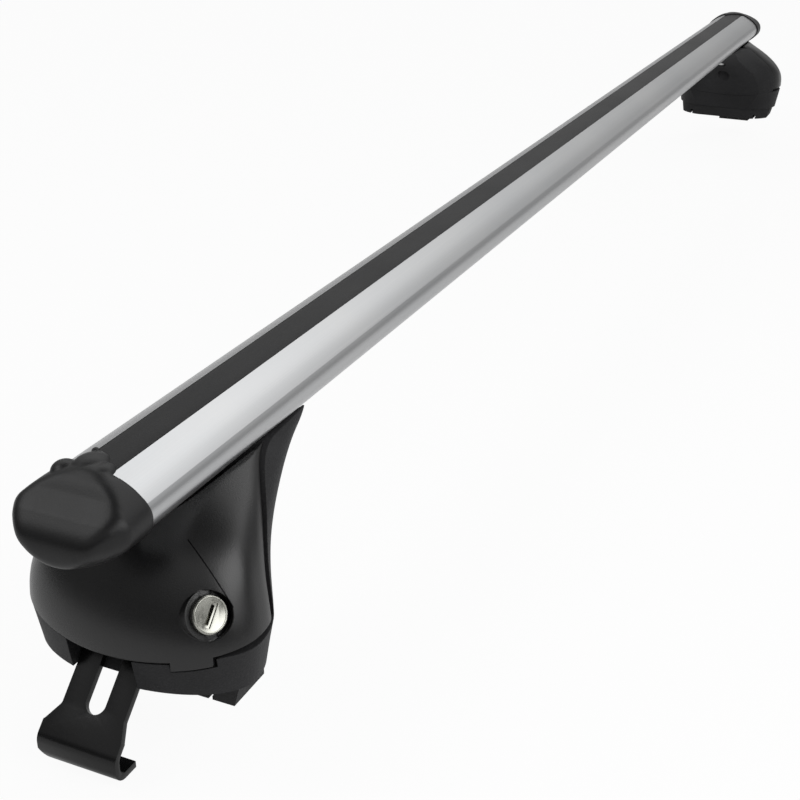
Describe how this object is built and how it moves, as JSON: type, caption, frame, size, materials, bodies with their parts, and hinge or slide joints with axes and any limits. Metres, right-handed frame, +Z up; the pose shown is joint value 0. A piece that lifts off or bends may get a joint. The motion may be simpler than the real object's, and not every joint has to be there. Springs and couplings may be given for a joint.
{
  "type": "roof rack crossbar",
  "caption": "Hollow aluminium roof crossbar with a rubber-filled top track, end caps, and clamping feet with locking covers and sliding rail hooks.",
  "frame": {"origin": "middle of the bar's length, on its top line", "axes": "+X along the bar to the far end, +Y across the bar, +Z up"},
  "size_m": [1.2854, 0.1162, 0.1399],
  "materials": {
    "anodised_aluminium": "satin anodised, drawn along the bar",
    "track_rubber": "matt extruded rubber",
    "cap_plastic": "fine moulded grain",
    "body_plastic": "coarse moulded grain",
    "cover_plastic": "satin moulded",
    "pad_rubber": "matt moulded rubber",
    "hook_paint": "semi-gloss black coating",
    "fastener_steel": "zinc plated",
    "lock_nickel": "satin nickel",
    "lock_steel": "zinc plated"
  },
  "bodies": {
    "bar": {"bar_extrusion": "anodised_aluminium", "top_strip": "track_rubber", "near_end_cap": "cap_plastic", "far_end_cap": "cap_plastic"},
    "near_foot": {"near_foot_body": "body_plastic", "near_rail_pad": "pad_rubber", "near_hook_nut": "fastener_steel", "near_track_plate": "fastener_steel", "near_track_screws": "fastener_steel", "near_track_washers": "fastener_steel"},
    "near_cover": {"near_foot_cover": "cover_plastic"},
    "near_lock": {"near_lock_plug": "lock_nickel", "near_lock_cam": "lock_steel", "near_lock_screw": "lock_steel"},
    "near_hook": {"near_clamp_hook": "hook_paint"},
    "near_bolt": {"near_hook_bolt": "fastener_steel", "near_hook_washer": "fastener_steel"},
    "far_foot": {"far_foot_body": "body_plastic", "far_rail_pad": "pad_rubber", "far_hook_nut": "fastener_steel", "far_track_plate": "fastener_steel", "far_track_screws": "fastener_steel", "far_track_washers": "fastener_steel"},
    "far_cover": {"far_foot_cover": "cover_plastic"},
    "far_lock": {"far_lock_plug": "lock_nickel", "far_lock_cam": "lock_steel", "far_lock_screw": "lock_steel"},
    "far_hook": {"far_clamp_hook": "hook_paint"},
    "far_bolt": {"far_hook_bolt": "fastener_steel", "far_hook_washer": "fastener_steel"}
  },
  "joints": [
    {"name": "near_foot_slide", "type": "slide", "parent": "bar", "child": "near_foot", "axis": [1, 0, 0], "range_m": [-0.042, 0.12]},
    {"name": "near_cover_slide", "type": "slide", "parent": "near_foot", "child": "near_cover", "axis": [-1, 0, 0], "range_m": [0, 0.02]},
    {"name": "near_lock_turn", "type": "hinge", "parent": "near_cover", "child": "near_lock", "pos_m": [-0.589, -0.043, -0.0646], "axis": [-0.3686, -0.828, 0.4226], "range_deg": [0, 90]},
    {"name": "near_hook_slide", "type": "slide", "parent": "near_foot", "child": "near_hook", "axis": [0.7193, 0, 0.6947], "range_m": [0, 0.014]},
    {"name": "near_bolt_turn", "type": "hinge", "parent": "near_foot", "child": "near_bolt", "pos_m": [-0.57583, 0.005, -0.07926], "axis": [-0.6947, 0, 0.7193], "continuous": true},
    {"name": "far_foot_slide", "type": "slide", "parent": "bar", "child": "far_foot", "axis": [-1, 0, 0], "range_m": [0, 0.162]},
    {"name": "far_cover_slide", "type": "slide", "parent": "far_foot", "child": "far_cover", "axis": [1, 0, 0], "range_m": [0, 0.02]},
    {"name": "far_lock_turn", "type": "hinge", "parent": "far_cover", "child": "far_lock", "pos_m": [0.631, 0.043, -0.0646], "axis": [0.3686, 0.828, 0.4226], "range_deg": [0, 90]},
    {"name": "far_hook_slide", "type": "slide", "parent": "far_foot", "child": "far_hook", "axis": [-0.7193, 0, 0.6947], "range_m": [-0.014, 0]},
    {"name": "far_bolt_turn", "type": "hinge", "parent": "far_foot", "child": "far_bolt", "pos_m": [0.61783, -0.005, -0.07926], "axis": [0.6947, 0, 0.7193], "continuous": true}
  ]
}
